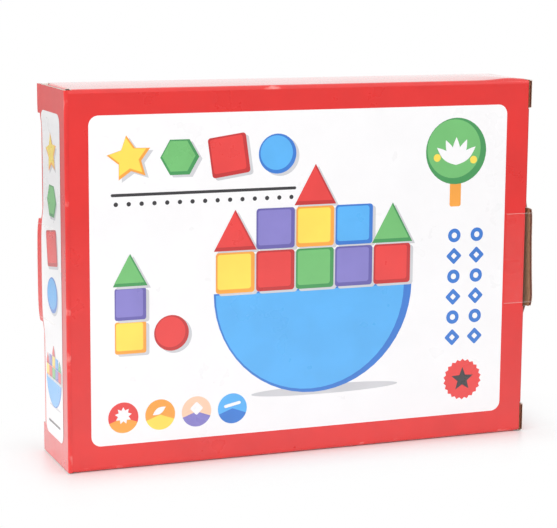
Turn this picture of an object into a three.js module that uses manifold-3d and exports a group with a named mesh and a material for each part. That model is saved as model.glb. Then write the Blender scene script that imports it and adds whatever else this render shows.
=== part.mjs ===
// A boxed balance game: a corrugated tuck-end carton that stands on its long edge, with a
// half-round wooden rocker, the cylinders that are stacked on it and a colour die packed inside.
// Millimetres, +Z up. The origin is the middle of the carton's underside, and the printed front
// faces -Y. The carton is worked out from the toys that it holds.
import * as THREE from 'three';
import { RoundedBoxGeometry } from 'three/addons/geometries/RoundedBoxGeometry.js';
import { mergeVertices } from 'three/addons/utils/BufferGeometryUtils.js';
import Module from 'manifold-3d';

const wasm = await Module();
wasm.setup();

// Wooden toys
const LARGE_DIAMETER = 40;
const MEDIUM_DIAMETER = 30;
const SMALL_DIAMETER = 20;
const CYLINDER_LENGTH = 40;
const CYLINDER_CHAMFER = 1;
const MOON_THICKNESS = 30;
const MOON_HEIGHT = 92; // from the belly to the tops of the peaks
const VALLEY_PITCH = 62; // between the middles of the moon's three valleys
const VALLEY_DEPTH = 20;
const DIE_SIZE = 25;
const DIE_EDGE_RADIUS = 4;
const SEAT_GAP = 0.3; // between toys that rest on each other

// Room around the packed toys
const END_ROOM = 14.8;
const DEPTH_ROOM = 2.4;
const HEAD_ROOM = 4.6;
const DIE_ROOM = 2.5; // between the die and the moon's belly

// Corrugated board
const BOARD = 1.6;
const FOLD_INNER_RADIUS = 0.4; // inside of the folds between the tube's walls
const CREASE_GAP = 0.4; // between a flap's rounded crease and the board that carries it
const CREASE_BEVEL = 2.4; // how far a wall is crushed back where an inner flap folds under it
const LAYER_GAP = 0.3; // between boards that lie on each other

// End closures
const END_LAND = 14.5; // straight edge of an end flap above and below its tabs
const TAB_WIDTH = 52;
const TAB_SLOT_ROOM = 0.5; // each side of a tab
const TAB_LENGTH = 12;
const TAB_CORNER = 5;
const TAB_LEAN = THREE.MathUtils.degToRad(14); // a tab is folded this far past square
const DUST_LENGTH = 40;
const DUST_TAPER = 4;
const DUST_CORNER = 6;
const DUST_SIDE_ROOM = 0.8;
const GLUE_WIDTH = 18;
const GLUE_INSET = 14; // from the end of the bottom wall to the end of the glue flap
const GLUE_TAPER = 6;

// Clear tape over the tuck edges
const TAPE_WIDTH = 48;
const TAPE_THICKNESS = 0.2;
const TAPE_GAP = 0.1;
const TAPE_ON_FLAP = 26;
const TAPE_ON_PANEL = 13;

// How finely round shapes are cut
const CYLINDER_SIDES = 32;
const CREASE_SIDES = 12;
const CORNER_STEPS = 5;
const FOLD_STEPS = 6;
const ARC_STEP = THREE.MathUtils.degToRad(7);
const DIE_STEPS = 3;

const PAINT = {
  red: 0xe23b3f,
  yellow: 0xf7d54a,
  blue: 0x3f97e6,
  green: 0x4aa765,
  purple: 0x7f7cc9,
};
const MOON_BLUE = 0x5fb8f0;
const NATURAL_WOOD = 0xf0dfc4;
const PRINTED_RED = 0xe8453c;
const KRAFT = 0xa8805f;
const TAPE_CLEAR = 0xe8d9c8;

const root = new THREE.Group();

// Solids

function paint(color, roughness = 0.5) {
  return new THREE.MeshStandardMaterial({ color, roughness, metalness: 0 });
}

function addMesh(parent, name, geometry, material) {
  const mesh = new THREE.Mesh(geometry, material);
  mesh.name = name;
  parent.add(mesh);
  return mesh;
}

function toSolid(geometry) {
  const bare = geometry.clone();
  bare.deleteAttribute('normal');
  bare.deleteAttribute('uv');
  const merged = mergeVertices(bare);
  return new wasm.Manifold(new wasm.Mesh({
    numProp: 3,
    vertProperties: new Float32Array(merged.attributes.position.array),
    triVerts: new Uint32Array(merged.index.array),
  }));
}

function toGeometry(solid) {
  const mesh = solid.getMesh();
  const geometry = new THREE.BufferGeometry();
  geometry.setAttribute('position', new THREE.BufferAttribute(mesh.vertProperties, 3));
  geometry.setIndex(new THREE.BufferAttribute(mesh.triVerts, 1));
  geometry.computeVertexNormals();
  return geometry;
}

function extrude(points, depth) {
  return new THREE.ExtrudeGeometry(new THREE.Shape(points), { depth, bevelEnabled: false });
}

// Points of an arc from one angle to another, without its last point
function arc(x, y, radius, from, to, steps) {
  return Array.from({ length: steps }, (_, i) => {
    const angle = from + (to - from) * i / steps;
    return new THREE.Vector2(x + radius * Math.cos(angle), y + radius * Math.sin(angle));
  });
}

// Turns a shape drawn in X and Z, and extruded along its own depth, so that it is centred on Y
function standUp(geometry, depth) {
  return geometry.translate(0, 0, -depth / 2).rotateX(Math.PI / 2);
}

// The packed stack, seen from the front: each toy is a circle that rests on those below it

const large = LARGE_DIAMETER / 2;
const medium = MEDIUM_DIAMETER / 2;
const small = SMALL_DIAMETER / 2;

const peakStep = VALLEY_PITCH / 2;
const valleyRadius = large + SEAT_GAP;
const peakRadius = (peakStep ** 2 + VALLEY_DEPTH ** 2) / (2 * VALLEY_DEPTH) - valleyRadius;
const peakZ = MOON_HEIGHT - peakRadius;
const valleyZ = MOON_HEIGHT - VALLEY_DEPTH + valleyRadius;
const hornX = VALLEY_PITCH + peakStep;
const bellyRadius = (hornX ** 2 + peakZ ** 2 - peakRadius ** 2) / (2 * (peakZ - peakRadius));

function circle(x, z, radius) {
  return { x, z, radius };
}

const peaks = [-hornX, -peakStep, peakStep, hornX].map((x) => circle(x, peakZ, peakRadius));
const horn = peaks.at(-1);
const stack = [...peaks];

// The lowest height at which a cylinder let down at x clears everything under it
function settle(x, radius) {
  const heights = stack.map((under) => {
    const reach = radius + under.radius + SEAT_GAP;
    const offset = Math.abs(x - under.x);
    return offset < reach ? under.z + Math.sqrt(reach ** 2 - offset ** 2) : 0;
  });
  const seated = circle(x, Math.max(...heights), radius);
  stack.push(seated);
  return seated;
}

// Two alike, left and right of the middle; the right one is returned
function settlePair(x, radius) {
  const left = settle(-x, radius);
  const right = circle(x, left.z, radius);
  stack.push(right);
  return right;
}

// Where a cylinder lies that touches two others from above, the first to the left of the second
function between(left, right, radius) {
  const toLeft = left.radius + radius + SEAT_GAP;
  const toRight = right.radius + radius + SEAT_GAP;
  const dx = right.x - left.x;
  const dz = right.z - left.z;
  const apart = Math.hypot(dx, dz);
  const along = (toLeft ** 2 - toRight ** 2 + apart ** 2) / (2 * apart);
  const above = Math.sqrt(toLeft ** 2 - along ** 2);
  return left.x + (along * dx - above * dz) / apart;
}

const cradle = settle(0, large);
const sideCradle = settlePair(VALLEY_PITCH, large);
const hornRest = settlePair(between(sideCradle, horn, small), small);
const bridge = settlePair(between(cradle, sideCradle, large), large);
const pocket = settle(0, small);
const shoulder = settlePair(between(sideCradle, hornRest, medium), medium);
const crown = settlePair(between(bridge, shoulder, large), large);
const saddle = settlePair(medium + SEAT_GAP / 2, medium);
const gable = settlePair(between(saddle, crown, small), small);
const summit = settle(0, small);

const stackTop = Math.max(...stack.map((toy) => toy.z + toy.radius));
const stackHalf = Math.max(...stack.map((toy) => Math.abs(toy.x) + toy.radius));

// Carton sizes

const halfLength = stackHalf + END_ROOM + 2 * BOARD + LAYER_GAP;
const thickestToy = Math.max(CYLINDER_LENGTH, MOON_THICKNESS, DIE_SIZE);
const halfDepth = thickestToy / 2 + DEPTH_ROOM + BOARD;
const height = stackTop + SEAT_GAP + HEAD_ROOM + 2 * BOARD;
const floorZ = BOARD + SEAT_GAP;
const foldRadius = FOLD_INNER_RADIUS + BOARD;

const flapX = halfLength - BOARD / 2; // middle of an end flap's board
const flapHingeY = halfDepth - BOARD / 2;
const creasedEdge = flapX - BOARD / 2 - CREASE_GAP; // panel edge that an end flap is creased on
const openEdge = halfLength - BOARD - LAYER_GAP; // panel edge that the tabs tuck behind
const dustX = openEdge - BOARD / 2;
const wallEnd = dustX - BOARD / 2 - CREASE_GAP;
const tabY = halfDepth - BOARD - LAYER_GAP - BOARD / 2;

// Tube: front and back panels, top and bottom walls, glue flap

function buildPanel(name, left, right, bottom, top, outerY) {
  const sheet = new THREE.BoxGeometry(right - left, BOARD, top - bottom);
  const panel = addMesh(root, name, sheet, paint(PRINTED_RED));
  const inward = -Math.sign(outerY) * BOARD / 2;
  panel.position.set((left + right) / 2, outerY + inward, (bottom + top) / 2);
}

// A wall's section from its front fold to its back one, lying flat with its outside up
function wallSection(front, back) {
  const frontFold = front + foldRadius;
  const backFold = back - foldRadius;
  const quarter = Math.PI / 2;
  return [
    ...arc(backFold, -foldRadius, foldRadius, 0, quarter, FOLD_STEPS),
    ...arc(frontFold, -foldRadius, foldRadius, quarter, 2 * quarter, FOLD_STEPS),
    new THREE.Vector2(front, -foldRadius),
    ...arc(frontFold, -foldRadius, FOLD_INNER_RADIUS, 2 * quarter, quarter, FOLD_STEPS),
    ...arc(backFold, -foldRadius, FOLD_INNER_RADIUS, quarter, 0, FOLD_STEPS),
    new THREE.Vector2(back - BOARD, -foldRadius),
  ];
}

// The crushed underside at both ends of a wall, where the inner flaps fold under it
function creaseBevels() {
  const wedge = [
    new THREE.Vector2(wallEnd, 0),
    new THREE.Vector2(wallEnd - CREASE_BEVEL, -BOARD),
    new THREE.Vector2(wallEnd - CREASE_BEVEL, -foldRadius * 2),
    new THREE.Vector2(wallEnd + BOARD, -foldRadius * 2),
    new THREE.Vector2(wallEnd + BOARD, 0),
  ];
  const width = 2 * (halfDepth - BOARD - foldRadius);
  const right = toSolid(standUp(extrude(wedge, width), width));
  return right.add(right.mirror([1, 0, 0]));
}

function buildWall(name, back, z, flip) {
  const section = wallSection(-halfDepth, back);
  const sheet = extrude(section, 2 * wallEnd).translate(0, 0, -wallEnd);
  sheet.applyMatrix4(new THREE.Matrix4().makeBasis(
    new THREE.Vector3(0, 1, 0), new THREE.Vector3(0, 0, 1), new THREE.Vector3(1, 0, 0)));
  let solid = toSolid(sheet).subtract(creaseBevels());
  if (flip) {
    solid = solid.mirror([0, 0, 1]);
  }
  addMesh(root, name, toGeometry(solid), paint(PRINTED_RED)).position.z = z;
}

function buildGlueFlap() {
  const half = wallEnd - GLUE_INSET;
  const outline = [
    new THREE.Vector2(-half, foldRadius),
    new THREE.Vector2(half, foldRadius),
    new THREE.Vector2(half - GLUE_TAPER, foldRadius + GLUE_WIDTH),
    new THREE.Vector2(-half + GLUE_TAPER, foldRadius + GLUE_WIDTH),
  ];
  const strip = standUp(extrude(outline, BOARD), BOARD);
  addMesh(root, 'glue_flap', strip, paint(KRAFT, 0.9)).position.y = halfDepth - BOARD * 1.5;
}

buildPanel('front_panel', -creasedEdge, openEdge, foldRadius, height - foldRadius, -halfDepth);
buildPanel('back_panel', -openEdge, creasedEdge, 0, height - foldRadius, halfDepth);
buildWall('top_wall', halfDepth, height, false);
buildWall('bottom_wall', halfDepth - BOARD, 0, true);
buildGlueFlap();

// End closures: drawn at the left end, and turned half round for the right one

// A flap in its own plane: its crease is on X, rounded over the board's thickness, and it runs to +Y
function flapGeometry(outline, creaseLength) {
  const plate = extrude(outline, BOARD).translate(0, 0, -BOARD / 2);
  const crease = new THREE.CylinderGeometry(BOARD / 2, BOARD / 2, creaseLength, CREASE_SIDES);
  return toGeometry(toSolid(plate).add(toSolid(crease.rotateZ(Math.PI / 2))));
}

function addFlap(parent, name, geometry, material, hinge, creaseAxis, reach) {
  const normal = new THREE.Vector3().crossVectors(creaseAxis, reach);
  geometry.applyMatrix4(new THREE.Matrix4().makeBasis(creaseAxis, reach, normal));
  addMesh(parent, name, geometry, material).position.copy(hinge);
}

// A flap's outline with a straight crease, and two rounded corners at its free edge
function roundedFlap(left, right, length, taper, corner) {
  return [
    new THREE.Vector2(left, 0),
    new THREE.Vector2(right, 0),
    ...arc(right - taper - corner, length - corner, corner, 0, Math.PI / 2, CORNER_STEPS),
    ...arc(left + taper + corner, length - corner, corner, Math.PI / 2, Math.PI, CORNER_STEPS),
    new THREE.Vector2(left + taper, length - corner),
  ];
}

const flapHeight = height - 2 * LAYER_GAP;
const tabSlot = TAB_WIDTH + 2 * TAB_SLOT_ROOM;
const tabCentre = flapHeight / 2 - END_LAND - tabSlot / 2; // above and below the middle

function endFlapOutline() {
  const landReach = flapHingeY + halfDepth;
  const slotReach = flapHingeY + tabY - BOARD / 2 - CREASE_GAP;
  const slots = [tabCentre, -tabCentre].flatMap((centre) => [
    new THREE.Vector2(centre + tabSlot / 2, landReach),
    new THREE.Vector2(centre + tabSlot / 2, slotReach),
    new THREE.Vector2(centre - tabSlot / 2, slotReach),
    new THREE.Vector2(centre - tabSlot / 2, landReach),
  ]);
  return [
    new THREE.Vector2(-flapHeight / 2, 0),
    new THREE.Vector2(flapHeight / 2, 0),
    new THREE.Vector2(flapHeight / 2, landReach),
    ...slots,
    new THREE.Vector2(-flapHeight / 2, landReach),
  ];
}

function buildTabs(parent, side) {
  const up = new THREE.Vector3(0, 0, 1);
  const reach = new THREE.Vector3(Math.cos(TAB_LEAN), -Math.sin(TAB_LEAN), 0);
  const outline = roundedFlap(-TAB_WIDTH / 2, TAB_WIDTH / 2, TAB_LENGTH, 0, TAB_CORNER);
  for (const [place, centre] of [['upper', tabCentre], ['lower', -tabCentre]]) {
    const hinge = new THREE.Vector3(-flapX, tabY, height / 2 + centre);
    const tab = flapGeometry(outline, TAB_WIDTH);
    addFlap(parent, `${side}_${place}_tab`, tab, paint(KRAFT, 0.9), hinge, up, reach);
  }
}

function buildDustFlaps(parent, side) {
  const along = new THREE.Vector3(0, 1, 0);
  const hingedEdge = -halfDepth + 2 * BOARD + DUST_SIDE_ROOM; // clear of the glue flap
  const tabInside = tabY - BOARD / 2 * Math.cos(TAB_LEAN) - TAB_LENGTH * Math.sin(TAB_LEAN);
  const tuckEdge = tabInside - DUST_SIDE_ROOM;
  const width = tuckEdge - hingedEdge;
  const outline = roundedFlap(-width / 2, width / 2, DUST_LENGTH, DUST_TAPER, DUST_CORNER);
  for (const [place, z, reach] of [['top', height - BOARD / 2, -1], ['bottom', BOARD / 2, 1]]) {
    const hinge = new THREE.Vector3(-dustX, (hingedEdge + tuckEdge) / 2, z);
    const direction = new THREE.Vector3(0, 0, reach);
    const flap = flapGeometry(outline, width);
    addFlap(parent, `${side}_${place}_dust_flap`, flap, paint(KRAFT, 0.9), hinge, along, direction);
  }
}

function buildTapeSeal(parent, side) {
  const near = TAPE_GAP;
  const far = TAPE_GAP + TAPE_THICKNESS;
  const outline = [
    new THREE.Vector2(-halfLength - far, halfDepth + far),
    new THREE.Vector2(-halfLength - far, halfDepth - TAPE_ON_FLAP),
    new THREE.Vector2(-halfLength - near, halfDepth - TAPE_ON_FLAP),
    new THREE.Vector2(-halfLength - near, halfDepth + near),
    new THREE.Vector2(-halfLength + TAPE_ON_PANEL, halfDepth + near),
    new THREE.Vector2(-halfLength + TAPE_ON_PANEL, halfDepth + far),
  ];
  const film = extrude(outline, TAPE_WIDTH).translate(0, 0, height / 2 - TAPE_WIDTH / 2);
  addMesh(parent, `${side}_tape_seal`, film, paint(TAPE_CLEAR, 0.2));
}

function buildEnd(side, turn) {
  const end = new THREE.Group();
  end.rotation.z = turn;
  root.add(end);
  const hinge = new THREE.Vector3(-flapX, -flapHingeY, height / 2);
  const up = new THREE.Vector3(0, 0, 1);
  const back = new THREE.Vector3(0, 1, 0);
  const endFlap = flapGeometry(endFlapOutline(), flapHeight);
  addFlap(end, `${side}_end_flap`, endFlap, paint(PRINTED_RED), hinge, up, back);
  buildTabs(end, side);
  buildDustFlaps(end, side);
  buildTapeSeal(end, side);
}

buildEnd('left', 0);
buildEnd('right', Math.PI);

// Toys

// The moon's outline: a round belly, a horn at each end, and three valleys between four peaks
function moonOutline() {
  const toHorn = Math.atan2(peakZ - bellyRadius, hornX);
  const toValley = Math.atan2(valleyZ - peakZ, peakStep);
  const steps = (sweep) => Math.ceil(Math.abs(sweep) / ARC_STEP);
  const turn = (x, z, radius, from, to) => arc(x, z, radius, from, to, steps(to - from));
  const points = turn(0, bellyRadius, bellyRadius, Math.PI - toHorn, 2 * Math.PI + toHorn);
  points.push(...turn(hornX, peakZ, peakRadius, toHorn, Math.PI - toValley));
  for (const valley of [VALLEY_PITCH, 0, -VALLEY_PITCH]) {
    const lastPeak = valley === -VALLEY_PITCH;
    const peakEnd = lastPeak ? Math.PI - toHorn : Math.PI - toValley;
    points.push(...turn(valley, valleyZ, valleyRadius, -toValley, toValley - Math.PI));
    points.push(...turn(valley - peakStep, peakZ, peakRadius, toValley, peakEnd));
  }
  return points;
}

function buildMoon() {
  const moon = standUp(extrude(moonOutline(), MOON_THICKNESS), MOON_THICKNESS);
  addMesh(root, 'moon_rocker', moon, paint(MOON_BLUE)).position.z = floorZ;
}

function buildCylinder(name, colour, toy, side) {
  const half = CYLINDER_LENGTH / 2;
  const rim = toy.radius - CYLINDER_CHAMFER;
  const edge = half - CYLINDER_CHAMFER;
  const profile = [
    new THREE.Vector2(0, -half),
    new THREE.Vector2(rim, -half),
    new THREE.Vector2(toy.radius, -edge),
    new THREE.Vector2(toy.radius, edge),
    new THREE.Vector2(rim, half),
    new THREE.Vector2(0, half),
  ];
  const body = new THREE.LatheGeometry(profile, CYLINDER_SIDES);
  addMesh(root, name, body, paint(PAINT[colour])).position.set(side * toy.x, 0, floorZ + toy.z);
}

function buildDie() {
  const top = DIE_SIZE + SEAT_GAP;
  const bellyAtTop = Math.sqrt(bellyRadius ** 2 - (bellyRadius - top) ** 2);
  const die = new RoundedBoxGeometry(DIE_SIZE, DIE_SIZE, DIE_SIZE, DIE_STEPS, DIE_EDGE_RADIUS);
  const x = bellyAtTop + DIE_ROOM + DIE_SIZE / 2;
  addMesh(root, 'colour_die', die, paint(NATURAL_WOOD)).position.set(x, 0, floorZ + DIE_SIZE / 2);
}

buildMoon();
buildCylinder('large_red_cylinder_1', 'red', cradle, 0);
buildCylinder('large_green_cylinder', 'green', sideCradle, -1);
buildCylinder('large_yellow_cylinder', 'yellow', sideCradle, 1);
buildCylinder('large_red_cylinder_2', 'red', bridge, -1);
buildCylinder('large_purple_cylinder', 'purple', bridge, 1);
buildCylinder('large_red_cylinder_3', 'red', crown, -1);
buildCylinder('large_blue_cylinder', 'blue', crown, 1);
buildCylinder('medium_yellow_cylinder', 'yellow', shoulder, -1);
buildCylinder('medium_red_cylinder', 'red', shoulder, 1);
buildCylinder('medium_purple_cylinder', 'purple', saddle, -1);
buildCylinder('medium_blue_cylinder', 'blue', saddle, 1);
buildCylinder('small_purple_cylinder', 'purple', hornRest, -1);
buildCylinder('small_red_cylinder_1', 'red', hornRest, 1);
buildCylinder('small_green_cylinder', 'green', pocket, 0);
buildCylinder('small_blue_cylinder', 'blue', gable, -1);
buildCylinder('small_yellow_cylinder', 'yellow', gable, 1);
buildCylinder('small_red_cylinder_2', 'red', summit, 0);
buildDie();

export default root;
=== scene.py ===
import math

import bmesh
import bpy
from mathutils import Matrix, Vector


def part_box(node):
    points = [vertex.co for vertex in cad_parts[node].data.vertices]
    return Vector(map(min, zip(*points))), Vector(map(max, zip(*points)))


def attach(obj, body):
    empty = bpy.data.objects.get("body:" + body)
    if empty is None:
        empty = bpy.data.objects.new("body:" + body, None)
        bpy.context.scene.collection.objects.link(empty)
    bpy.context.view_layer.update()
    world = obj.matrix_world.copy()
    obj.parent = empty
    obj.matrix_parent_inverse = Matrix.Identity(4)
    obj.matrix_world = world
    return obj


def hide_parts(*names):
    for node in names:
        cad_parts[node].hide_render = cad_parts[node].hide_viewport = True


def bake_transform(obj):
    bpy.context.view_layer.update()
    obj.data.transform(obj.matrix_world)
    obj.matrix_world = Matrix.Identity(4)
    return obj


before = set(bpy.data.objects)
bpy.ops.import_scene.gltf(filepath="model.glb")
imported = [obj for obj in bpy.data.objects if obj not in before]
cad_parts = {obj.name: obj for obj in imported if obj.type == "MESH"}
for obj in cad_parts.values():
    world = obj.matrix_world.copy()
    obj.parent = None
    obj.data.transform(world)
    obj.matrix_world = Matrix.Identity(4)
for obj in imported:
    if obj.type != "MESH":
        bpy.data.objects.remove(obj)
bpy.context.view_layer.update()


# Measures, taken from the solids where they show them

MM = 0.001
FRONT_LOW, FRONT_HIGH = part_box("front_panel")
BACK_LOW, BACK_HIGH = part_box("back_panel")
TOP_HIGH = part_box("top_wall")[1]
FLAP_LOW, FLAP_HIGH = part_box("left_end_flap")
TAB_LOW, TAB_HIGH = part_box("left_upper_tab")
DUST_LOW, DUST_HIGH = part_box("left_top_dust_flap")
GLUE_LOW, GLUE_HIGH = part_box("glue_flap")
TAPE_LOW, TAPE_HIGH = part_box("right_tape_seal")

HEIGHT = TOP_HIGH.z
HALF_DEPTH = BACK_HIGH.y
HALF_LENGTH = -FLAP_LOW.x
WALL_END = TOP_HIGH.x
BOARD = BACK_HIGH.y - BACK_LOW.y
FOLD = FRONT_LOW.z  # outer radius of the folds along the carton
FOLD_Y = HALF_DEPTH - FOLD
CREASE = BOARD / 2
LINER = 0.3 * MM
MEDIUM = 0.2 * MM  # thickness of the fluted sheet
FLUTE_PITCH = 3.3 * MM
FLUTE_STEPS = 8
FLUTE_SWING = BOARD / 2 - LINER - MEDIUM / 2
CRUSH = 0.4 * MM  # how far a cut along the flutes crushes them

FLAP_X = HALF_LENGTH - BOARD / 2
FLAP_HINGE_Y = HALF_DEPTH - BOARD / 2
FLAP_HALF = (FLAP_HIGH.z - FLAP_LOW.z) / 2
TAB_LEAN = math.radians(14)
TAB_Y = TAB_HIGH.y - BOARD / 2 * math.cos(TAB_LEAN)
TAB_LENGTH = 12 * MM
TAB_CORNER = 5 * MM
TAB_WIDTH = TAB_HIGH.z - TAB_LOW.z
TAB_CENTRE = (TAB_HIGH.z + TAB_LOW.z) / 2 - HEIGHT / 2
SLOT_ROOM = 1.0 * MM
SLOT_GAP = 0.4 * MM
SLOT = TAB_WIDTH + SLOT_ROOM
SLOT_REACH = FLAP_HINGE_Y + TAB_Y - BOARD / 2 - SLOT_GAP
LAND_REACH = FLAP_HINGE_Y + HALF_DEPTH
DUST_X = -(DUST_LOW.x + DUST_HIGH.x) / 2
DUST_Y = (DUST_HIGH.y + DUST_LOW.y) / 2
DUST_HALF = (DUST_HIGH.y - DUST_LOW.y) / 2
DUST_LENGTH = 40 * MM
DUST_TAPER = 4 * MM
DUST_CORNER = 6 * MM
DUST_START = 3.0 * MM
DUST_RELIEF = 2.5 * MM  # cut from each side at the crease
RELIEF_SLOPE = 2

X = Vector((1, 0, 0))
Y = Vector((0, 1, 0))
Z = Vector((0, 0, 1))


# Materials

# Most of a noise's values lie between these two
NOISE_LOW = 0.3
NOISE_HIGH = 0.7

# How often the wave texture repeats at a scale of 1
WAVE_LENGTH = math.pi / 10


def grey(value):
    return (value, value, value, 1)


class Shader:
    """A new Principled material, with short ways to add the nodes that drive it."""

    def __init__(self, name, roughness, **sockets):
        self.material = bpy.data.materials.new(name)
        self.material.use_nodes = True
        self.tree = self.material.node_tree
        self.surface = self.tree.nodes["Principled BSDF"]
        self.surface.inputs["Roughness"].default_value = roughness
        for socket, value in sockets.items():
            self.surface.inputs[socket.replace("_", " ")].default_value = value
        self.place = self.node("ShaderNodeTexCoord").outputs["Object"]

    def node(self, kind, **settings):
        node = self.tree.nodes.new(kind)
        for key, value in settings.items():
            setattr(node, key, value)
        return node

    def link(self, source, target):
        self.tree.links.new(source, target)

    def stretched(self, scale):
        mapping = self.node("ShaderNodeMapping")
        mapping.inputs["Scale"].default_value = scale
        self.link(self.place, mapping.inputs["Vector"])
        return mapping.outputs["Vector"]

    def noise(self, scale, stretch=(1, 1, 1), detail=4.0):
        texture = self.node("ShaderNodeTexNoise")
        texture.inputs["Scale"].default_value = scale
        texture.inputs["Detail"].default_value = detail
        self.link(self.stretched(stretch), texture.inputs["Vector"])
        return texture.outputs["Fac"]

    def bands(self, pitch, direction):
        texture = self.node("ShaderNodeTexWave", bands_direction=direction, wave_profile="SIN")
        texture.inputs["Scale"].default_value = WAVE_LENGTH / pitch
        self.link(self.place, texture.inputs["Vector"])
        return texture.outputs["Fac"]

    def vector(self, operation, source, operand=(0, 0, 0)):
        node = self.node("ShaderNodeVectorMath", operation=operation)
        self.link(source, node.inputs[0])
        node.inputs[1].default_value = operand
        return node.outputs["Value" if operation == "LENGTH" else "Vector"]

    def ramp(self, source, stops):
        ramp = self.node("ShaderNodeValToRGB")
        elements = ramp.color_ramp.elements
        while len(elements) < len(stops):
            elements.new(0.5)
        for element, (position, colour) in zip(elements, stops):
            element.position = position
            element.color = colour
        self.link(source, ramp.inputs["Fac"])
        return ramp.outputs["Color"]

    def range(self, source, low, high):
        span = self.node("ShaderNodeMapRange")
        span.inputs["From Min"].default_value = NOISE_LOW
        span.inputs["From Max"].default_value = NOISE_HIGH
        span.inputs["To Min"].default_value = low
        span.inputs["To Max"].default_value = high
        self.link(source, span.inputs["Value"])
        return span.outputs["Result"]

    def colour(self, socket):
        self.link(socket, self.surface.inputs["Base Color"])

    def roughness(self, source, low, high):
        self.link(self.range(source, low, high), self.surface.inputs["Roughness"])

    def bumps(self, *layers):
        """Each layer is a height, its strength and its depth in metres."""
        normal = None
        for height, strength, depth in layers:
            bump = self.node("ShaderNodeBump")
            bump.inputs["Strength"].default_value = strength
            bump.inputs["Distance"].default_value = depth
            self.link(height, bump.inputs["Height"])
            if normal is not None:
                self.link(normal, bump.inputs["Normal"])
            normal = bump.outputs["Normal"]
        self.link(normal, self.surface.inputs["Normal"])


def linear(red, green, blue):
    """A colour as seen on a screen, 0 to 255, as amounts of light."""
    def channel(value):
        value /= 255
        return value / 12.92 if value <= 0.04045 else ((value + 0.055) / 1.055) ** 2.4
    return (channel(red), channel(green), channel(blue), 1)


def shade(colour, factor):
    return (colour[0] * factor, colour[1] * factor, colour[2] * factor, 1)


def ink(name, rgb, flute="Z", mottling=0.04):
    """Offset print on coated board: a faint mottle, the board's flutes telegraphing through, and a
    light varnish."""
    colour = linear(*rgb)
    shader = Shader(name, roughness=0.35, Coat_Weight=1.0, Coat_Roughness=0.05)
    stops = [(0.35, shade(colour, 1 - mottling)), (0.65, shade(colour, 1 + mottling))]
    shader.colour(shader.ramp(shader.noise(45, detail=3), stops))
    shader.roughness(shader.noise(60), 0.26, 0.36)
    shader.bumps((shader.bands(FLUTE_PITCH, flute), 0.08, 0.05 * MM))
    return shader.material


def worn_highlit_fold(name, rgb):
    """The printed sheet stretched over a fold: the same ink, paler in short dashes along it, partly
    rubbed wear and partly a painted highlight.
    """
    colour = linear(*rgb)
    rubbed_highlight = linear(246, 150, 144)
    shader = Shader(name, roughness=0.38, Coat_Weight=0.9, Coat_Roughness=0.15)
    rubs_and_highlights = shader.noise(420, stretch=(0.2, 1, 0.2))
    stops = [(0.35, shade(colour, 0.96)), (0.6, shade(colour, 1.06)), (0.74, rubbed_highlight)]
    shader.colour(shader.ramp(rubs_and_highlights, stops))
    shader.roughness(rubs_and_highlights, 0.32, 0.5)
    shader.bumps((rubs_and_highlights, 0.1, 0.04 * MM))
    return shader.material


def kraft(name, rgb, along):
    """Unbleached paper: short fibres along one axis, a few darker flecks, no gloss."""
    colour = linear(*rgb)
    shader = Shader(name, roughness=0.9, Specular_IOR_Level=0.2)
    fibres = shader.noise(700, stretch=along, detail=5)
    stops = [(0.28, shade(colour, 0.84)), (0.5, colour), (0.74, shade(colour, 1.12))]
    shader.colour(shader.ramp(fibres, stops))
    shader.bumps((shader.bands(FLUTE_PITCH, "Z"), 0.15, 0.1 * MM), (fibres, 0.15, 0.05 * MM))
    return shader.material


def painted_wood(name, rgb):
    """Brushed-on satin paint over turned wood, with the grain faintly raised under it."""
    colour = linear(*rgb)
    shader = Shader(name, roughness=0.4, Coat_Weight=0.15, Coat_Roughness=0.3)
    grain = shader.noise(220, stretch=(6, 0.5, 6), detail=6)
    stops = [(0.3, shade(colour, 0.86)), (0.6, colour), (0.8, shade(colour, 1.1))]
    shader.colour(shader.ramp(grain, stops))
    shader.roughness(shader.noise(90), 0.34, 0.5)
    shader.bumps((grain, 0.2, 0.2 * MM))
    return shader.material


def bare_wood(name):
    """Varnished wood with a long grain."""
    shader = Shader(name, roughness=0.45, Coat_Weight=0.1, Coat_Roughness=0.3)
    grain = shader.noise(120, stretch=(1, 1, 12), detail=8)
    stops = [(0.3, linear(205, 170, 125)), (0.45, linear(233, 208, 170)), (0.65, linear(244, 228, 200))]
    shader.colour(shader.ramp(grain, stops))
    shader.bumps((grain, 0.25, 0.2 * MM))
    return shader.material


def film(name, alpha):
    """Clear packing tape: glossy, a little creased, see-through."""
    shader = Shader(name, roughness=0.12, IOR=1.45, Alpha=alpha)
    wrinkle = shader.noise(70, stretch=(1, 1, 2.5), detail=3)
    stops = [(0.3, linear(250, 236, 226)), (0.7, linear(255, 250, 244))]
    shader.colour(shader.ramp(wrinkle, stops))
    shader.roughness(wrinkle, 0.08, 0.2)
    shader.bumps((wrinkle, 0.35, 0.4 * MM))
    return shader.material


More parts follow.
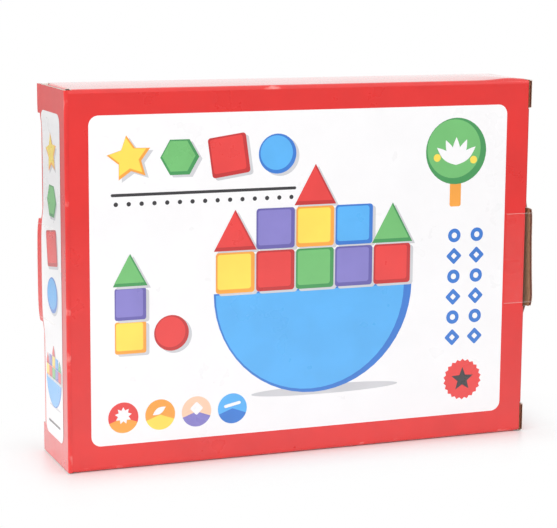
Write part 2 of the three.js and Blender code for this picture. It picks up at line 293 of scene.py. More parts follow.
RED = (224, 30, 26)
PRINT_RED = ink("print_red", RED)
PRINT_RED_TOP = ink("print_red_top", RED, "Y")
# The folds' pale dashes are partly wear and partly a painted highlight
PRINT_FOLD_WEAR_HIGHLIGHT = worn_highlit_fold("print_fold_wear_highlight", RED)
PRINT_WHITE = ink("print_white", (246, 245, 246), mottling=0.01)
KRAFT = kraft("kraft_liner", (176, 126, 92), (0.25, 0.25, 1))
KRAFT_EDGE = kraft("kraft_medium", (134, 78, 58), (1, 1, 3))
PAPER_EDGE = kraft("paper_edge", (236, 226, 218), (1, 1, 1))
TAPE = film("clear_tape", 0.012)
# A more opaque strip of the same film along the tape's sides: a painted highlight on its edges
TAPE_EDGE_HIGHLIGHT = film("clear_tape_edge_highlight", 0.14)
INKS = {
    "white": PRINT_WHITE,
    "red": ink("ink_red", (232, 60, 58)),
    "dark_red": ink("ink_dark_red", (196, 40, 42)),
    "yellow": ink("ink_yellow", (252, 222, 84)),
    "orange": ink("ink_orange", (246, 164, 60)),
    "peach": ink("ink_peach", (250, 205, 175)),
    "green": ink("ink_green", (112, 190, 112)),
    "dark_green": ink("ink_dark_green", (64, 150, 84)),
    "blue": ink("ink_blue", (84, 176, 242)),
    "dark_blue": ink("ink_dark_blue", (48, 120, 208)),
    "purple": ink("ink_purple", (134, 126, 200)),
    "dark_purple": ink("ink_dark_purple", (102, 94, 170)),
    "grey": ink("ink_grey", (206, 206, 210)),
    "black": ink("ink_black", (48, 46, 50)),
}


# Sheets and boards

SHARP_ANGLE = math.radians(35)

# The order of a board's materials
OUTSIDE, INSIDE, FLUTES, CUT = range(4)


def board_materials(outside):
    return [outside, KRAFT, KRAFT_EDGE, PAPER_EDGE]


def new_piece(name, draft, materials, body):
    """A piece from a finished draft. It rides on the body, if one is given."""
    bmesh.ops.recalc_face_normals(draft, faces=draft.faces)
    mesh = bpy.data.meshes.new(name)
    draft.to_mesh(mesh)
    draft.free()
    for material in materials:
        mesh.materials.append(material)
    mesh.shade_smooth()
    mesh.set_sharp_from_angle(angle=SHARP_ANGLE)
    piece = bpy.data.objects.new(name, mesh)
    bpy.context.collection.objects.link(piece)
    if body:
        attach(piece, body)
    return piece


def slab(draft, rows, offsets, outer, inner, rim):
    """A closed sheet over rows of (point, normal), between two offsets along the normal in each row.
    Its outer face, inner face and rim each have a material."""
    def surface(side):
        return [[draft.verts.new(point + normal * offset[side]) for point, normal in row]
                for row, offset in zip(rows, offsets)]

    def face(corners, material):
        draft.faces.new(corners).material_index = material

    low, high = surface(0), surface(1)
    last_row, last_column = len(rows) - 1, len(rows[0]) - 1
    for i in range(last_row):
        for j in range(last_column):
            face((high[i][j], high[i + 1][j], high[i + 1][j + 1], high[i][j + 1]), outer)
            face((low[i][j], low[i][j + 1], low[i + 1][j + 1], low[i + 1][j]), inner)
    for i in range(last_row):
        for j in (0, last_column):
            face((low[i][j], low[i + 1][j], high[i + 1][j], high[i][j]), rim)
    for j in range(last_column):
        for i in (0, last_row):
            face((low[i][j], low[i][j + 1], high[i][j + 1], high[i][j]), rim)


def steps(low, high, count):
    return [low + (high - low) * i / count for i in range(count + 1)]


def board(draft, place, low, high, start, end, rows, columns):
    """Corrugated board from row low to row high: two liners, the fluted sheet between them, and the
    crushed edges where the die cut along the flutes.
    place(row, column) gives a point of the outer face and its normal; columns run from start(row)
    to end(row), along the flutes."""
    def grid(places):
        return [[place(row, column) for column in steps(start(row), end(row), columns)]
                for row in places]

    outer = grid(steps(low, high, rows))
    slab(draft, outer, [(-LINER, 0)] * len(outer), OUTSIDE, FLUTES, CUT)
    slab(draft, outer, [(-BOARD, LINER - BOARD)] * len(outer), FLUTES, INSIDE, FLUTES)
    waves = steps(low, high, max(2, round((high - low) / FLUTE_PITCH * FLUTE_STEPS)))
    middles = [FLUTE_SWING * math.sin(2 * math.pi * row / FLUTE_PITCH) - BOARD / 2 for row in waves]
    sheet = [(middle - MEDIUM / 2, middle + MEDIUM / 2) for middle in middles]
    slab(draft, grid(waves), sheet, FLUTES, FLUTES, FLUTES)
    for edge in ((low, low + CRUSH), (high - CRUSH, high)):
        slab(draft, grid(edge), [(LINER - BOARD, -LINER)] * 2, CUT, CUT, CUT)


BOARD_RED = board_materials(PRINT_RED)
BOARD_RED_TOP = board_materials(PRINT_RED_TOP)


# Tube: one sheet folded round the four walls and closed by the glue flap

WALL_ENDS = (-WALL_END, WALL_END)
FRONT_ENDS = (FRONT_LOW.x, FRONT_HIGH.x)
BACK_ENDS = (BACK_LOW.x, BACK_HIGH.x)
QUARTER = math.pi / 2
EAR_SHARE = 0.6  # how much of a fold runs on to the ends of the panel
FOLD_ROWS = 6
FOLD_COLUMNS = 80

# How the top wall springs up, with the shares it has all along, adds at its peak and keeps at its ends
SPRING = 0.9 * MM
SPRING_BASE = 0.35
SPRING_PEAK = 0.4
SPRING_MIDDLE = 105 * MM
SPRING_SPREAD = 30 * MM
SPRING_KEPT = 0.4
SPRING_END = 12 * MM

# Where the front fold lifts
LIFT_MIDDLE = 112 * MM
LIFT_SPREAD = 9 * MM


def hump(distance, spread):
    return math.exp(-(distance / spread) ** 2)


def bulge(x, y):
    """How far the top wall springs up between its folds, most near its right end, where the front
    fold lifts with it."""
    across = max(0.0, 1 - (y / FOLD_Y) ** 2)
    along = SPRING_BASE + SPRING_PEAK * hump(x - SPRING_MIDDLE, SPRING_SPREAD)
    ends = SPRING_KEPT + (1 - SPRING_KEPT) * min(1.0, (WALL_END - abs(x)) / SPRING_END)
    lifted = hump(x - LIFT_MIDDLE, LIFT_SPREAD) * max(0.0, -y / FOLD_Y)
    return SPRING * (across * along * ends + lifted)


def wall(name, node, place, rows, columns, materials):
    """One wall. Its rows and columns are each a start, an end and a count."""
    low, high, row_count = rows
    left, right, column_count = columns
    draft = bmesh.new()
    board(draft, place, low, high, lambda row: left, lambda row: right, row_count, column_count)
    piece = new_piece(name, draft, materials, "carton")
    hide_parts(node)


def fold(name, y, z, first, turn, ears=WALL_ENDS, lift=0):
    """A rounded fold along the carton: a quarter round the line through y and z. Its first part may
    run on to the ends of the panel beside it, and it may lift with the top wall."""
    def place(row, column):
        angle = first + turn * row
        normal = Vector((0, math.cos(angle), math.sin(angle)))
        rise = Z * lift * row * bulge(max(-WALL_END, min(WALL_END, column)), y)
        return Vector((column, y, z)) + normal * FOLD + rise, normal

    draft = bmesh.new()
    for low, high, (left, right) in ((0, EAR_SHARE, ears), (EAR_SHARE, 1, WALL_ENDS)):
        rows = [[place(row, column) for column in steps(left, right, FOLD_COLUMNS)]
                for row in steps(low, high, FOLD_ROWS)]
        slab(draft, rows, [(-BOARD, 0)] * len(rows), OUTSIDE, INSIDE, CUT)
    piece = new_piece(name, draft, board_materials(PRINT_FOLD_WEAR_HIGHLIGHT), "carton")


wall("front_board", "front_panel", lambda z, x: (Vector((x, -HALF_DEPTH, z)), -Y),
     (FOLD, HEIGHT - FOLD, 8), (*FRONT_ENDS, 8), BOARD_RED)
wall("back_board", "back_panel", lambda z, x: (Vector((x, HALF_DEPTH, z)), Y.copy()),
     (0, HEIGHT - FOLD, 8), (*BACK_ENDS, 8), BOARD_RED)
wall("top_board", "top_wall", lambda y, x: (Vector((x, y, HEIGHT + bulge(x, y))), Z.copy()),
     (-FOLD_Y, FOLD_Y, 12), (*WALL_ENDS, 80), BOARD_RED_TOP)
wall("bottom_board", "bottom_wall", lambda y, x: (Vector((x, y, 0)), -Z),
     (-FOLD_Y, FOLD_Y - BOARD, 4), (*WALL_ENDS, 4), BOARD_RED_TOP)
fold("fold_top_front", -FOLD_Y, HEIGHT - FOLD, 2 * QUARTER, -QUARTER, FRONT_ENDS, 1)
fold("fold_top_back", FOLD_Y, HEIGHT - FOLD, 0, QUARTER, BACK_ENDS)
fold("fold_bottom_front", -FOLD_Y, FOLD, 2 * QUARTER, QUARTER, FRONT_ENDS)
fold("fold_bottom_back", FOLD_Y - BOARD, FOLD, 0, -QUARTER)


def glue_board():
    taper = 6 * MM

    def half(z):
        return GLUE_HIGH.x - taper * (z - GLUE_LOW.z) / (GLUE_HIGH.z - GLUE_LOW.z)

    draft = bmesh.new()
    board(draft, lambda z, x: (Vector((x, GLUE_HIGH.y, z)), Y.copy()), GLUE_LOW.z, GLUE_HIGH.z,
          lambda z: -half(z), half, 2, 2)
    piece = new_piece("glue_board", draft, board_materials(PAPER_EDGE), "carton")
    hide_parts("glue_flap")


glue_board()


# End closures: each is drawn for the left end and turned half round for the right one

# How far the tuck edge stands out between the tabs, in millimetres: a level, its slope and curve by
# the height over BOW_SCALE, and a ripple
LAND_STAND = {"left": (2.24, 0.0, -0.25, 0.0), "right": (2.9, -0.89, 1.3, 0.2)}
LAND_HALF = 28.75 * MM
BOW_SCALE = 25 * MM
RIPPLE = 7 * MM

# How far it stands out above the upper tab, and everywhere
CORNER_STAND = {"left": 1.1, "right": 0.0}
CORNER_HEIGHT = 76 * MM
CORNER_BLEND = 4 * MM
EDGE_STAND = 0.2

END_ROW = 1 * MM
END_COLUMNS = 16
FLAP_ROWS = 40
SIDE_TRIM = 0.02 * MM  # shaved off an inner flap's sides, where its corners run out
SHORTEST = 0.1 * MM  # the least that it reaches there
BEND_STEPS = 8
CREASE_COLUMNS = 12
CREASE_LAPS = (1.25 * MM, 0.6 * MM)  # where the bent sheet lies on the carrying board
CREASE_PAST = 0.3 * MM


class End:
    """The left or the right end: its names, its half turn and the bow of its flap."""

    def __init__(self, side):
        self.side = side
        self.turn = Matrix.Rotation(math.pi if side == "right" else 0, 3, "Z")

    def name(self, words):
        return f"{self.side}_{words}"

    def point(self, x, y, z):
        return self.turn @ Vector((x, y, z))

    def bow(self, height, run):
        """How far the end flap's outer face stands out, at a height from its middle and a run from
        its crease."""
        reach = max(0.0, run / (2 * HALF_DEPTH)) ** 2
        level, slope, curve, ripple = LAND_STAND[self.side]
        share = height / BOW_SCALE
        stand = level + slope * share + curve * share ** 2 + ripple * math.cos(height / RIPPLE)
        land = reach * stand * math.exp(-(height / LAND_HALF) ** 8)
        upper = 0.5 + 0.5 * math.tanh((height - CORNER_HEIGHT) / CORNER_BLEND)
        return reach * MM * (land + CORNER_STAND[self.side] * upper + EDGE_STAND)

    def flap_face(self, height, run):
        out = self.bow(height, run)
        return self.point(-HALF_LENGTH - out, run - FLAP_HINGE_Y, HEIGHT / 2 + height), self.turn @ -X


def end_board(end):
    edges = [-FLAP_HALF, -TAB_CENTRE - SLOT / 2, -TAB_CENTRE + SLOT / 2,
             TAB_CENTRE - SLOT / 2, TAB_CENTRE + SLOT / 2, FLAP_HALF]
    draft = bmesh.new()
    for i, (low, high) in enumerate(zip(edges, edges[1:])):
        reach = LAND_REACH if i % 2 == 0 else SLOT_REACH
        rows = round((high - low) / END_ROW)
        board(draft, end.flap_face, low, high, lambda row: 0.0, lambda row: reach, rows, END_COLUMNS)
    piece = new_piece(end.name("end_board"), draft, BOARD_RED, end.name("end"))
    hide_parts(end.name("end_flap"))


def rounded_reach(half, length, taper, corner):
    """How far a flap with two rounded, drawn-in corners reaches, by the distance from its middle."""
    def reach(across):
        over = abs(across) - (half - taper - corner)
        if over <= 0:
            return length
        if over < corner:
            return length - corner + math.sqrt(max(0.0, corner ** 2 - over ** 2))
        return max(0.0, (length - corner) * (half - abs(across)) / taper) if taper else length - corner
    return reach


def inner_flap(end, words, node, body, hinge, along, run, normal, half, reach, first=0.0, relief=0.0):
    """A plain flap: kraft inside, white outside. Its full thickness starts a little way from the
    crease, and its corners may be cut away beside the crease."""
    def place(across, out):
        return end.turn @ (hinge + along * across + run * out + normal * CREASE), end.turn @ normal

    def start(row):
        return first + RELIEF_SLOPE * max(0.0, abs(row) - half + relief)

    draft = bmesh.new()
    board(draft, place, SIDE_TRIM - half, half - SIDE_TRIM, start,
          lambda row: max(start(row) + SHORTEST, reach(row)), FLAP_ROWS, 2)
    piece = new_piece(end.name(words), draft, board_materials(PRINT_WHITE), end.name(body))
    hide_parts(end.name(node))


def crease(end, words, bodies, hinge, along, half, arrive, face, leave, out, past=CREASE_PAST):
    """The bent outer sheet over a crease, from the carrying board round to a little past the flap's
    start. Its two bodies are not used."""
    path = [(hinge - arrive * distance + face * CREASE, face) for distance in CREASE_LAPS]
    sweep = math.acos(max(-1.0, min(1.0, face.dot(out))))
    axis = face.cross(out).normalized()
    for angle in steps(0, sweep, BEND_STEPS):
        normal = Matrix.Rotation(angle, 3, axis) @ face
        path.append((hinge + normal * CREASE, normal))
    path.append((hinge + leave * past + out * CREASE, out))
    rows = [[(end.turn @ (point + along * across), end.turn @ normal)
             for across in steps(-half, half, CREASE_COLUMNS)]
            for point, normal in path]
    outside, inside, rim = range(3)
    draft = bmesh.new()
    slab(draft, rows, [(-LINER, 0)] * len(rows), outside, inside, rim)
    piece = new_piece(end.name(words), draft, [PRINT_FOLD_WEAR_HIGHLIGHT, PAPER_EDGE, PAPER_EDGE], None)
    start, stop = end.turn @ path[0][0], end.turn @ path[-1][0]
    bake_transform(piece)
    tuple(start)
    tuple(stop)


def build_end(side):
    end = End(side)
    end_board(end)
    end_body = end.name("end")
    hinge = Vector((-FLAP_X, -FLAP_HINGE_Y, HEIGHT / 2))
    crease(end, "end_crease", ("carton", end_body), hinge, Z, FLAP_HALF, -X, -Y, Y, -X)

    tab_run = Vector((math.cos(TAB_LEAN), -math.sin(TAB_LEAN), 0))
    tab_out = Vector((math.sin(TAB_LEAN), math.cos(TAB_LEAN), 0))
    tab_reach = rounded_reach(TAB_WIDTH / 2, TAB_LENGTH, 0, TAB_CORNER)
    for place, centre in (("upper", TAB_CENTRE), ("lower", -TAB_CENTRE)):
        hinge = Vector((-FLAP_X, TAB_Y, HEIGHT / 2 + centre))
        inner_flap(end, f"{place}_tab_board", f"{place}_tab", "tabs", hinge, Z, tab_run, tab_out,
                   TAB_WIDTH / 2, tab_reach)
        crease(end, f"{place}_tab_fold", (end_body, end.name("tabs")), hinge, Z, TAB_WIDTH / 2,
               Y, -X, tab_run, tab_out)

    dust_reach = rounded_reach(DUST_HALF, DUST_LENGTH, DUST_TAPER, DUST_CORNER)
    for place, z, run in (("top", HEIGHT - CREASE, -Z), ("bottom", CREASE, Z)):
        hinge = Vector((-DUST_X, DUST_Y, z))
        inner_flap(end, f"{place}_dust_board", f"{place}_dust_flap", f"{place}_dust", hinge, Y, run, -X,
                   DUST_HALF, dust_reach, DUST_START, DUST_RELIEF)
        crease(end, f"{place}_dust_fold", ("carton", end.name(f"{place}_dust")), hinge, Y,
               DUST_HALF - DUST_RELIEF, -X, -run, run, -X, DUST_START)


build_end("left")
build_end("right")


# Toys: painted wood, and a varnished die with a coloured spot on each face

PAINTS = {
    "red": painted_wood("paint_red", (226, 58, 60)),
    "yellow": painted_wood("paint_yellow", (250, 216, 84)),
    "blue": painted_wood("paint_blue", (66, 150, 230)),
    "green": painted_wood("paint_green", (80, 172, 106)),
    "purple": painted_wood("paint_purple", (128, 122, 202)),
}
MOON_PAINT = painted_wood("paint_moon", (96, 186, 242))
DIE_WOOD = bare_wood("die_wood")

SPOT_SIDES = 32
SPOT_RINGS = ((5.2 * MM, 0.0), (5.0 * MM, 0.08 * MM), (3.5 * MM, 0.12 * MM))  # radius and rise


def paint_toys():
    for name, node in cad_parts.items():
        if "_cylinder" in name:
            node.data.materials[0] = PAINTS[name.split("_")[1]]
    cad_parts["moon_rocker"].data.materials[0] = MOON_PAINT
    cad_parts["colour_die"].data.materials[0] = DIE_WOOD


def die_spots():
    """A shallow domed spot of paint in the middle of each face of the die."""
    low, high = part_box("colour_die")
    centre = (low + high) / 2
    half = (high.x - low.x) / 2
    faces = ((X, Y), (-X, Y), (Y, Z), (-Y, Z), (Z, X), (-Z, X))
    angles = [2 * math.pi * i / SPOT_SIDES for i in range(SPOT_SIDES)]
    draft = bmesh.new()
    for index, (normal, side) in enumerate(faces):
        other = normal.cross(side)
        around = [side * math.cos(angle) + other * math.sin(angle) for angle in angles]
        rings = [[draft.verts.new(centre + normal * (half + rise) + way * radius) for way in around]
                 for radius, rise in SPOT_RINGS]
        draft.faces.new(rings[-1]).material_index = index
        for inner, outer in zip(rings[1:], rings):
            for i in range(SPOT_SIDES):
                following = (i + 1) % SPOT_SIDES
                corners = (outer[i], outer[following], inner[following], inner[i])
                draft.faces.new(corners).material_index = index
    piece = new_piece("die_spots", draft, [*PAINTS.values(), MOON_PAINT], "carton")


paint_toys()
die_spots()


# Clear tape over the tuck edge of each end, from the panel round the edge and on to the flap

TAPE_HALF = (TAPE_HIGH.z - TAPE_LOW.z) / 2
TAPE_LIFT = 0.22 * MM
TAPE_THICKNESS = 0.06 * MM
# Width of the painted highlight strip along each side of the tape
TAPE_EDGE_HIGHLIGHT_WIDTH = 0.4 * MM
TAPE_ON_PANEL = 13 * MM
TAPE_ON_FLAP = 26 * MM
TAPE_TURN = 1 * MM
TAPE_HUMP = 1.1  # over the slit between the panel and the tuck edge


def tape_seal(end):
    def row(height):
        edge = -HALF_LENGTH - end.bow(height, LAND_REACH)
        across = [(x, HALF_DEPTH + TAPE_LIFT, Y)
                  for x in steps(TAPE_ON_PANEL - HALF_LENGTH, BACK_LOW.x, 4)]
        across.append(((BACK_LOW.x + edge) / 2, HALF_DEPTH + TAPE_LIFT * TAPE_HUMP, Y))
        for angle in steps(0, QUARTER, 4):
            out = Vector((-math.sin(angle), math.cos(angle), 0))
            across.append((edge + out.x * TAPE_LIFT, HALF_DEPTH + out.y * TAPE_LIFT, out))
        for run in steps(LAND_REACH - TAPE_TURN, LAND_REACH - TAPE_ON_FLAP, 8):
            face = -HALF_LENGTH - end.bow(height, run)
            across.append((face - TAPE_LIFT, run - FLAP_HINGE_Y, -X))
        return [(end.point(x, y, HEIGHT / 2 + height), end.turn @ normal) for x, y, normal in across]

    clear, rim = range(2)
    inside = TAPE_HALF - TAPE_EDGE_HIGHLIGHT_WIDTH
    draft = bmesh.new()
    # The sides of the tape get the more opaque film: a painted highlight on its edges
    for low, high, count, material in ((-TAPE_HALF, -inside, 1, rim), (-inside, inside, 20, clear),
                                       (inside, TAPE_HALF, 1, rim)):
        rows = [row(height) for height in steps(low, high, count)]
        slab(draft, rows, [(0, TAPE_THICKNESS)] * len(rows), material, material, material)
    piece = new_piece(end.name("tape"), draft, [TAPE, TAPE_EDGE_HIGHLIGHT], end.name("end"))
    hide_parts(end.name("tape_seal"))


tape_seal(End("left"))
tape_seal(End("right"))


# Printed shapes, drawn flat in millimetres: across to the right and up

def turned(points, x, y, turn):
    cos, sin = math.cos(math.radians(turn)), math.sin(math.radians(turn))
    return [(x + across * cos - up * sin, y + across * sin + up * cos) for across, up in points]


def disc(x, y, radius, tall=1.0, sides=40):
    angles = [2 * math.pi * i / sides for i in range(sides)]
    return [(x + radius * math.cos(angle), y + radius * tall * math.sin(angle)) for angle in angles]


def arc(x, y, radius, first, last, sides):
    angles = [math.radians(angle) for angle in steps(first, last, sides)]
    return [(x + radius * math.cos(angle), y + radius * math.sin(angle)) for angle in angles]


def sector(x, y, radius, first, last):
    return [(x, y)] + arc(x, y, radius, first, last, 28)


def rounded(x, y, width, height, radius, turn=0.0):
    points = []
    for sign_x, sign_y, first in ((1, 1, 0), (-1, 1, 90), (-1, -1, 180), (1, -1, 270)):
        centre_x, centre_y = sign_x * (width / 2 - radius), sign_y * (height / 2 - radius)
        points += arc(centre_x, centre_y, radius, first, first + 90, 8)
    return turned(points, x, y, turn)


def spiked(x, y, outer, inner, spikes, turn=90.0):
    points = [(radius * math.cos(math.pi * i / spikes), radius * math.sin(math.pi * i / spikes))
              for i, radius in enumerate([outer, inner] * spikes)]
    return turned(points, x, y, turn)


def triangle(x, y, width, height):
    return [(x - width / 2, y), (x + width / 2, y), (x, y + height)]


def leaf(x, y, length, width, turn):
    upper = [(length * t, width * math.sin(math.pi * t)) for t in steps(0, 1, 12)]
    lower = [(length * t, -width * math.sin(math.pi * t)) for t in steps(1, 0, 12)][1:-1]
    return turned(upper + lower, x, y, turn)


INK_STEP = 0.01 * MM
INK_LIFT = 0.03 * MM
FLAP_INK_LIFT = 0.09 * MM


class Print:
    """Ink on one face: a picture's shapes are added back to front, each a hair above the one before
    it, and the next picture starts again on the ground. A face that bows has its ink sliced, so that
    it can follow."""

    def __init__(self, name, body, place, lift, slices=()):
        self.name = name
        self.body = body
        self.place = place
        self.lift = lift
        self.slices = slices
        self.layers = {}
        self.level = 0

    def start(self):
        """Begin a picture on the ground."""
        self.level = 1

    def rise(self):
        """Go on above what was printed last."""
        self.level += 1

    def lay(self, ink_name, *shapes):
        """Print shapes level with the last ones."""
        self.layers.setdefault(ink_name, []).extend((self.level, shape) for shape in shapes)

    def add(self, ink_name, *shapes):
        """Print shapes above the last ones."""
        self.rise()
        self.lay(ink_name, *shapes)

    def finish(self):
        """Make one piece of each ink."""
        for ink_name, shapes in self.layers.items():
            draft = bmesh.new()
            for level, shape in shapes:
                corners = [draft.verts.new((across * MM, up * MM, level)) for across, up in shape]
                face = draft.faces.new(corners)
                face.normal_update()
                if face.normal.z < 0:
                    face.normal_flip()
            for axis, places in self.slices:
                for place in places:
                    parts = draft.verts[:] + draft.edges[:] + draft.faces[:]
                    bmesh.ops.bisect_plane(draft, geom=parts, plane_co=axis * place, plane_no=axis)
            bmesh.ops.triangulate(draft, faces=draft.faces)
            for vert in draft.verts:
                across, up, level = vert.co
                vert.co = self.place(across, up, self.lift + INK_STEP * level)
            mesh = bpy.data.meshes.new(f"{self.name}_{ink_name}")
            draft.to_mesh(mesh)
            draft.free()
            mesh.materials.append(INKS[ink_name])
            piece = bpy.data.objects.new(mesh.name, mesh)
            bpy.context.collection.objects.link(piece)
            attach(piece, self.body)


# Printed pictures

def tones(face, side):
    return {"face": face, "side": side, "shadow": "grey"}


RED_TONES = tones("red", "dark_red")
YELLOW_TONES = tones("yellow", "orange")
GREEN_TONES = tones("green", "dark_green")
BLUE_TONES = tones("blue", "dark_blue")
PURPLE_TONES = tones("purple", "dark_purple")

# What is printed of a block, from the back, with its shift across and up and its share of the size
BLOCK_LAYERS = (("shadow", 1.6, -1.2, 1.0), ("side", 0, 0, 1.0), ("face", -0.5, 0.5, 0.86))


def block_shape(kind, x, y, size, turn):
    makers = {
        "square": lambda: rounded(x, y, size, size, size * 0.08, turn),
        "round": lambda: disc(x, y, size / 2),
        "wedge": lambda: triangle(x, y - size / 2, size * 1.1, size),
        "star": lambda: spiked(x, y, size * 0.58, size * 0.3, 5, 90 + turn),
        "hexagon": lambda: disc(x, y, size / 2, sides=6),
    }
    return makers[kind]()


def blocks(page, *rows):
    """Blocks side by side: all their soft grey shadows, then their dark sides, then their faces.
    Each row is a kind, its place, size and tones, and its turn in degrees."""
    for layer, aside, up, share in BLOCK_LAYERS:
        page.rise()
        for kind, x, y, size, inks, turn in rows:
            page.lay(inks[layer], block_shape(kind, x + aside, y + up, size * share, turn))


def heading_shapes(page, x, y, step_x, step_y, size):
    """Four bright shapes in a row or a column, leaning one way and the other."""
    lean = 8
    kinds = (("star", YELLOW_TONES), ("hexagon", GREEN_TONES),
             ("square", RED_TONES), ("round", BLUE_TONES))
    page.start()
    blocks(page, *[(kind, x + i * step_x, y + i * step_y, size, inks, lean * (-1) ** i)
                   for i, (kind, inks) in enumerate(kinds)])


def tree_emblem(page, x, y, size):
    page.start()
    page.add("orange", rounded(x, y - size * 0.42, size * 0.16, size * 0.4, 1.2))
    page.add("dark_green", disc(x, y + size * 0.1, size * 0.43))
    page.add("green", disc(x - size * 0.03, y + size * 0.13, size * 0.38))
    for angle in (40, 65, 90, 115, 140):
        page.add("white", leaf(x, y - size * 0.08, size * 0.36, size * 0.055, angle))
    page.add("yellow", *[disc(x + aside * size, y + up * size, size * 0.05)
                         for aside, up in ((-0.27, 0.02), (0.25, -0.02))])


def block_boat(page, x, y, radius):
    """A blue half-round hull that carries a row of blocks and a gable on top of it."""
    page.start()
    page.add("grey", disc(x + radius * 0.12, y - radius * 0.98, radius * 0.75, 0.06))
    page.add("dark_blue", sector(x, y, radius, 180, 360))
    page.add("blue", sector(x - radius * 0.03, y - radius * 0.015, radius * 0.95, 180, 360))
    size = radius * 0.38
    pitch = size * 1.04
    cargo = ((("square", YELLOW_TONES), ("square", RED_TONES), ("square", GREEN_TONES),
              ("square", PURPLE_TONES), ("square", RED_TONES)),
             (("wedge", RED_TONES), ("square", PURPLE_TONES), ("square", YELLOW_TONES),
              ("square", BLUE_TONES), ("wedge", GREEN_TONES)),
             (("wedge", RED_TONES),))
    rows = []
    for level, row in enumerate(cargo):
        first = x - (len(row) - 1) / 2 * pitch
        rows += [(kind, first + i * pitch, y + size / 2 + level * pitch, size, inks, 0.0)
                 for i, (kind, inks) in enumerate(row)]
    blocks(page, *rows)


def seal(page, x, y, size):
    page.start()
    page.add("red", spiked(x, y, size / 2, size * 0.45, 22))
    page.add("black", spiked(x, y, size * 0.3, size * 0.13, 5))


def two_tone_badges(page, x, y, step, size):
    """Four discs in a row, each with a darker or brighter foot and a white mark."""
    grounds = (("red", "orange"), ("orange", "yellow"), ("peach", "purple"), ("blue", "dark_blue"))
    for i, (ground, foot) in enumerate(grounds):
        centre = x + i * step
        marks = (spiked(centre, y + 1, size * 0.28, size * 0.18, 9),
                 leaf(centre - size * 0.25, y, size * 0.5, 1.6, 30),
                 rounded(centre, y + 1.6, 5, 5, 0.8, 45),
                 rounded(centre, y + 2, 9, 1.6, 0.8, 12))
        page.start()
        page.add(ground, disc(centre, y, size / 2))
        page.add(foot, sector(centre, y, size / 2, 200, 340))
        page.add("white", marks[i])


def loose_blocks(page, x, y):
    """A little tower of three blocks and a round one beside it."""
    size = 16
    pitch = 16.8
    bottom = y + size / 2
    page.start()
    blocks(page, ("square", x, bottom, size, YELLOW_TONES, 0.0),
           ("round", x + 21, y + 9, 18, RED_TONES, 0.0))
    blocks(page, ("square", x, bottom + pitch, size, PURPLE_TONES, 0.0))
    blocks(page, ("wedge", x, bottom + 2 * pitch, size, GREEN_TONES, 0.0))


def dotted_column(page, x, y, count, pitch):
    """Rings and diamonds in turn, downward."""
    for i in range(count):
        middle = y - i * pitch
        page.start()
        if i % 2:
            page.add("dark_blue", rounded(x, middle, 6.4, 6.4, 0.8, 45))
            page.add("white", rounded(x, middle, 2.4, 2.4, 0.4, 45))
        else:
            page.add("dark_blue", disc(x, middle, 3.6))
            page.add("white", disc(x, middle, 1.5))


def dotted_line(page):
    page.start()
    page.add("black", rounded(-54.5, 136.5, 96, 1.5, 0.7))
    page.add("black", *[disc(-100 + i * 6.5, 132, 1.1) for i in range(15)])


def picture_side(name, place):
    """The print of the front or the back, from the middle of its lower edge."""
    page = Print(name, "carton", place, INK_LIFT)
    page.add("white", rounded(-1.2, 93.9, 224.2, 162.9, 5))
    heading_shapes(page, -93, 154, 25.5, 0, 20)
    dotted_line(page)
    tree_emblem(page, 82, 148, 40)
    block_boat(page, 4, 85, 54)
    two_tone_badges(page, -97, 26, 19, 15.5)
    seal(page, 88.5, 31, 22)
    dotted_column(page, 82, 108, 6, 10.8)
    dotted_column(page, 95, 108, 6, 10.8)
    loose_blocks(page, -93, 58)
    page.finish()


def end_side(end):
    """The print of an end flap, from the middle of its lower edge."""
    def place(across, up, lift):
        point, normal = end.flap_face(up - HEIGHT / 2, FLAP_HINGE_Y - across)
        return point + normal * lift

    slices = ((X, steps(-20 * MM, 20 * MM, 16)), (Y, steps(0, HEIGHT, 188)))
    page = Print(end.name("print"), end.name("end"), place, FLAP_INK_LIFT, slices)
    page.add("white", rounded(-1.7, 93.7, 33.6, 163.2, 5))
    heading_shapes(page, -1.7, 155, 0, -23.5, 18)
    block_boat(page, -1.7, 42, 14.5)
    page.start()
    page.add("black", rounded(-1.7, 19, 22, 1.2, 0.5))
    page.finish()


picture_side("front_print", lambda across, up, lift: Vector((across, -HALF_DEPTH - lift, up)))
picture_side("back_print", lambda across, up, lift: Vector((-across, HALF_DEPTH + lift, up)))
end_side(End("left"))
end_side(End("right"))


# Camera

CAMERA_TARGET = Vector((-15.49, -23.56, 98.27)) * MM
CAMERA_DISTANCE = 938.8 * MM
CAMERA_AZIMUTH = math.radians(21.06)
CAMERA_ELEVATION = math.radians(9.8)
CAMERA_ROLL = math.radians(0.40)
CAMERA_LENS = 120.94
CAMERA_SENSOR = 36


def aim_camera():
    level = math.cos(CAMERA_ELEVATION)
    away = Vector((-math.sin(CAMERA_AZIMUTH) * level, -math.cos(CAMERA_AZIMUTH) * level,
                   math.sin(CAMERA_ELEVATION)))
    data = bpy.data.cameras.new("camera")
    data.sensor_fit = "HORIZONTAL"
    data.sensor_width = CAMERA_SENSOR
    data.lens = CAMERA_LENS
    data.clip_end = 50
    camera = bpy.data.objects.new("camera", data)
    bpy.context.collection.objects.link(camera)
    right = (-away).cross(Z).normalized()
    up = right.cross(-away)
    tilted = right * math.cos(CAMERA_ROLL) + up * math.sin(CAMERA_ROLL)
    basis = Matrix((tilted, away.cross(tilted), away)).transposed()
    camera.matrix_world = Matrix.Translation(CAMERA_TARGET + away * CAMERA_DISTANCE) @ basis.to_4x4()
    bpy.context.scene.camera = camera


aim_camera()


# Studio

FLOOR_SIZE = 6
FLOOR_DROP = 0.2 * MM

# Distances in metres, each with how bright or how white the floor is there
# How bright the floor is in the carton's mirror image: painted shade, darker away from the middle
MIRRORED_FLOOR_SHADE = [(0.15, grey(1)), (0.9, grey(0.12))]
WHITENED_FLOOR = [(0.0, grey(0)), (0.01, grey(0.3)), (0.03, grey(0.85)), (0.06, grey(1))]

LAMP_TARGET = Vector((0, 0, 0.08))
LAMP_SIZE = 0.9


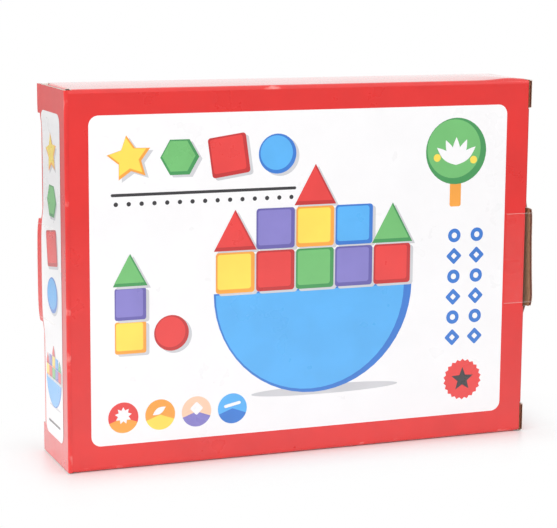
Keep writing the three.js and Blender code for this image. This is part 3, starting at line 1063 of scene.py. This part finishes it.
def floor_material():
    """White paper. Its mirror image in the carton is painted darker away from the middle, a painted
    shade, and seen directly it turns pure white a little way from the carton's foot."""
    shader = Shader("floor", roughness=0.3, Specular_IOR_Level=0.35)
    path = shader.node("ShaderNodeLightPath")

    painted_falloff = shader.ramp(shader.vector("LENGTH", shader.place), MIRRORED_FLOOR_SHADE)
    mirrored = shader.node("ShaderNodeMix", data_type="RGBA")
    plain, image, result = mirrored.inputs[6], mirrored.inputs[7], mirrored.outputs[2]
    shader.link(path.outputs["Is Glossy Ray"], mirrored.inputs["Factor"])
    plain.default_value = grey(0.95)
    shader.link(painted_falloff, image)
    shader.colour(result)

    spread = shader.vector("ABSOLUTE", shader.place)
    beyond = shader.vector("SUBTRACT", spread, (HALF_LENGTH, HALF_DEPTH, 0))
    gap = shader.vector("LENGTH", shader.vector("MAXIMUM", beyond))
    seen = shader.node("ShaderNodeMath", operation="MULTIPLY")
    shader.link(path.outputs["Is Camera Ray"], seen.inputs[0])
    shader.link(shader.ramp(gap, WHITENED_FLOOR), seen.inputs[1])
    white = shader.node("ShaderNodeEmission")
    mix = shader.node("ShaderNodeMixShader")
    shader.link(seen.outputs[0], mix.inputs[0])
    shader.link(shader.surface.outputs[0], mix.inputs[1])
    shader.link(white.outputs[0], mix.inputs[2])
    shader.link(mix.outputs[0], shader.tree.nodes["Material Output"].inputs["Surface"])
    return shader.material


def floor():
    draft = bmesh.new()
    bmesh.ops.create_grid(draft, x_segments=1, y_segments=1, size=FLOOR_SIZE)
    mesh = bpy.data.meshes.new("floor")
    draft.to_mesh(mesh)
    draft.free()
    mesh.materials.append(floor_material())
    plane = bpy.data.objects.new("floor", mesh)
    plane.location.z = -FLOOR_DROP
    bpy.context.collection.objects.link(plane)


def lamp(name, place, power):
    data = bpy.data.lights.new(name, "AREA")
    data.shape = "DISK"
    data.size = LAMP_SIZE
    data.energy = power
    light = bpy.data.objects.new(name, data)
    bpy.context.collection.objects.link(light)
    light.location = place
    light.rotation_euler = (LAMP_TARGET - Vector(place)).to_track_quat("-Z", "Y").to_euler()


def sky():
    """A white sky, dimmer as a light than as a background."""
    world = bpy.data.worlds.new("studio")
    world.use_nodes = True
    tree = world.node_tree
    background = tree.nodes["Background"]
    background.inputs["Color"].default_value = grey(1)
    background.inputs["Strength"].default_value = 0.8
    white = tree.nodes.new("ShaderNodeBackground")
    white.inputs["Color"].default_value = grey(1)
    white.inputs["Strength"].default_value = 1
    path = tree.nodes.new("ShaderNodeLightPath")
    seen = tree.nodes.new("ShaderNodeMath")
    seen.operation = "MAXIMUM"
    tree.links.new(path.outputs["Is Camera Ray"], seen.inputs[0])
    tree.links.new(path.outputs["Is Glossy Ray"], seen.inputs[1])
    mix = tree.nodes.new("ShaderNodeMixShader")
    tree.links.new(seen.outputs[0], mix.inputs[0])
    tree.links.new(background.outputs[0], mix.inputs[1])
    tree.links.new(white.outputs[0], mix.inputs[2])
    tree.links.new(mix.outputs[0], tree.nodes["World Output"].inputs["Surface"])
    bpy.context.scene.world = world


floor()
sky()
lamp("key", (-0.95, -1.3, 1.15), 8.5)
lamp("fill", (1.2, -0.9, 0.9), 3)
lamp("side", (-1.5, -0.25, 0.75), 6)
bpy.context.scene.view_settings.view_transform = "Standard"
